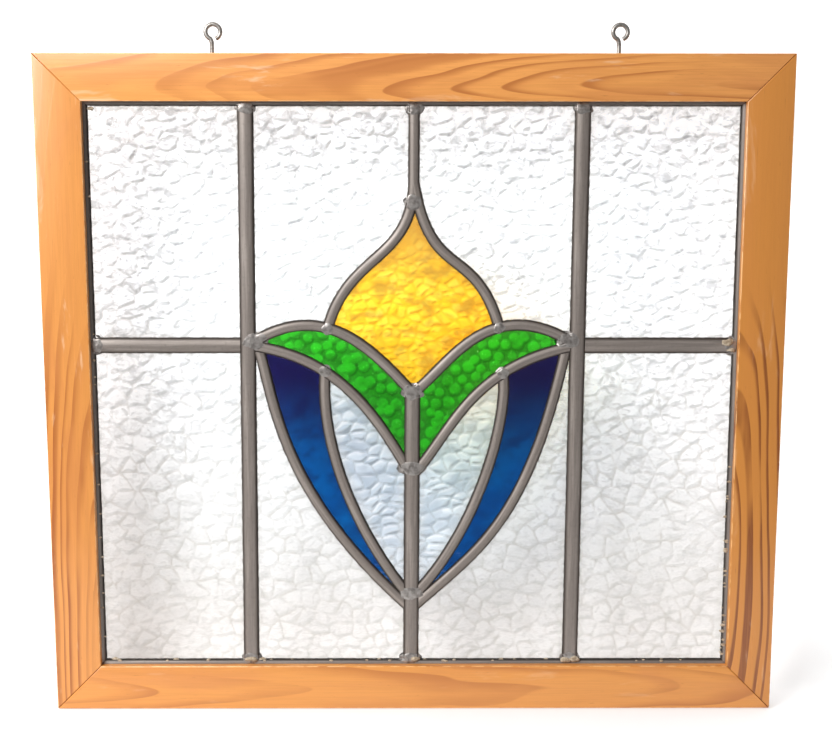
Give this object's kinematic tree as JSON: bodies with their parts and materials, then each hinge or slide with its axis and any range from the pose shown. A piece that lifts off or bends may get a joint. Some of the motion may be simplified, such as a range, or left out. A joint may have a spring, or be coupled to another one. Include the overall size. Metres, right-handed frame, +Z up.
{
  "type": "stained glass window",
  "caption": "Rectangular stained glass panel in a mitred wooden frame, with a flower bud of coloured glass and hammered clear glass in lead, hung from screw eyes.",
  "frame": {"origin": "midway between the two points at the tops of the ring bores, where the panel hangs from hooks, in the middle of the thickness", "axes": "+X to the right of the front and along the width, +Y through the thickness from front to back, +Z up; the front faces -Y"},
  "size_m": [0.61, 0.019, 0.5745],
  "materials": {
    "wood": "varnished orange softwood with plain-sawn grain and scuffs",
    "lead": null,
    "solder": null,
    "steel": "zinc-plated steel wire",
    "clear_glass": "clear hammered cathedral glass",
    "amber_glass": "transparent amber glass with a dimpled face",
    "green_glass": "transparent green glass with a dimpled face",
    "blue_glass": "deep blue glass, nearly smooth"
  },
  "bodies": {
    "root": {"frame_bottom_rail": "wood", "frame_right_stile": "wood", "frame_top_rail": "wood", "frame_left_stile": "wood", "screw_eye_left": "steel", "screw_eye_right": "steel", "came_border_bottom": "lead", "came_border_right": "lead", "came_border_top": "lead", "came_border_left": "lead", "came_upright_left": "lead", "came_upright_right": "lead", "came_crossbar_left": "lead", "came_crossbar_right": "lead", "came_leaf_top_left": "lead", "came_leaf_top_right": "lead", "came_stem_and_bud_left": "lead", "came_bud_right": "lead", "came_centre": "lead", "came_leaf_under_left": "lead", "came_leaf_under_right": "lead", "came_petal_outer_left": "lead", "came_petal_outer_right": "lead", "came_petal_inner_left": "lead", "came_petal_inner_right": "lead", "glass_upper_outer_left": "clear_glass", "glass_lower_outer_left": "clear_glass", "glass_above_leaf_left": "clear_glass", "glass_below_shield_left": "clear_glass", "glass_leaf_left": "green_glass", "glass_petal_left": "blue_glass", "glass_beside_stalk_left": "clear_glass", "glass_upper_outer_right": "clear_glass", "glass_lower_outer_right": "clear_glass", "glass_above_leaf_right": "clear_glass", "glass_below_shield_right": "clear_glass", "glass_leaf_right": "green_glass", "glass_petal_right": "blue_glass", "glass_beside_stalk_right": "clear_glass", "glass_bud": "amber_glass", "solder_fork": "solder", "solder_leaves_meet": "solder", "solder_leaf_foot": "solder", "solder_shield_foot": "solder", "solder_stem_top": "solder", "solder_stalk_foot": "solder", "solder_crossing_left": "solder", "solder_bud_foot_left": "solder", "solder_petal_top_left": "solder", "solder_upright_top_left": "solder", "solder_upright_foot_left": "solder", "solder_crossbar_end_left": "solder", "solder_crossing_right": "solder", "solder_bud_foot_right": "solder", "solder_petal_top_right": "solder", "solder_upright_top_right": "solder", "solder_upright_foot_right": "solder", "solder_crossbar_end_right": "solder"}
  },
  "joints": []
}
